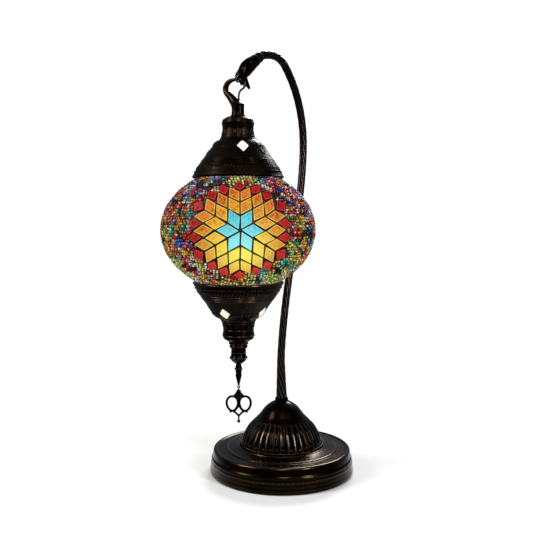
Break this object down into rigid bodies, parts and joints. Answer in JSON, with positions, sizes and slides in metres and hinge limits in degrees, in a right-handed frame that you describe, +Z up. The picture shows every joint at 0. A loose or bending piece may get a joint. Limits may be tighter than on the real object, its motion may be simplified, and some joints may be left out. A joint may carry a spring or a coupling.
{
  "type": "mosaic glass table lamp",
  "caption": "Swan-neck table lamp: round spun base, fluted dome, twisted curved stem and a hanging mosaic glass lantern with pierced caps and a scrolled pendant.",
  "frame": {"origin": "centre of the underside of the base, on the surface the lamp stands on", "axes": "+Z up; the swan neck lies in the YZ plane and carries the lantern towards -Y"},
  "size_m": [0.166, 0.2421, 0.4802],
  "materials": {
    "antique_bronze": "blackened antique bronze, rubbed bright on edges",
    "felt": "felt",
    "zinc_steel": "zinc plated",
    "cast_iron": "as cast",
    "black_plastic": "moulded",
    "porcelain": "white glazed porcelain",
    "lead_jacket": "soft PVC",
    "steel_wire": "darkened wire",
    "bulb_metal": "rolled thread",
    "bulb_glass": "lit frosted glass",
    "clear_glass": "clear blown glass",
    "dark_grout": "dark mosaic grout",
    "turquoise_glass": "cut sheet glass",
    "amber_glass": "cut sheet glass",
    "orange_glass": "cut sheet glass",
    "red_glass": "cut sheet glass",
    "bead_glass": "mixed coloured seed beads",
    "spring_steel": "polished strip"
  },
  "bodies": {
    "stand": {"base_shell": "antique_bronze", "felt_pad": "felt", "base_cover": "zinc_steel", "base_weight": "cast_iron", "tie_rod_washer": "zinc_steel", "tie_rod_nut": "zinc_steel", "tie_rod": "zinc_steel", "cord_bush": "black_plastic", "fluted_dome": "antique_bronze", "stem_collar": "antique_bronze", "stem": "antique_bronze", "swan_head": "antique_bronze", "stem_lead": "lead_jacket"},
    "eye": {"beak_ring": "steel_wire"},
    "lantern": {"lantern_hook": "antique_bronze", "hook_socket": "antique_bronze", "top_cap": "antique_bronze", "bottom_cap": "antique_bronze", "lamp_nipple": "zinc_steel", "top_cap_nut": "zinc_steel", "lampholder": "porcelain", "lampholder_collar": "porcelain", "bulb_cap": "bulb_metal", "bulb_glass": "bulb_glass", "glass_globe": "clear_glass", "grout_bed": "dark_grout", "tiles_turquoise": "turquoise_glass", "tiles_amber": "amber_glass", "tiles_orange": "orange_glass", "tiles_red": "red_glass", "seed_beads": "bead_glass", "upper_globe_clips": "spring_steel", "lower_globe_clips": "spring_steel", "bottom_cap_nut": "zinc_steel", "finial_stud": "zinc_steel", "finial_cup": "antique_bronze", "finial_knob": "antique_bronze", "finial_spike": "antique_bronze", "lantern_lead": "lead_jacket"},
    "link": {"pendant_link": "steel_wire"},
    "pendant": {"pendant": "antique_bronze"}
  },
  "joints": [
    {"name": "eye_swing", "type": "hinge", "parent": "stand", "child": "eye", "pos_m": [0, -0.075, 0.4438], "axis": [0, 1, 0], "range_deg": [-12, 12]},
    {"name": "lantern_swing", "type": "hinge", "parent": "eye", "child": "lantern", "pos_m": [0, -0.075, 0.4403], "axis": [1, 0, 0], "range_deg": [-20, 2]},
    {"name": "link_swing", "type": "hinge", "parent": "lantern", "child": "link", "pos_m": [0, -0.075, 0.11143], "axis": [-0.6157, 0.788, 0], "range_deg": [-25, 25]},
    {"name": "pendant_swing", "type": "hinge", "parent": "link", "child": "pendant", "pos_m": [0, -0.075, 0.10933], "axis": [0.788, 0.6157, 0], "range_deg": [-30, 30]}
  ]
}
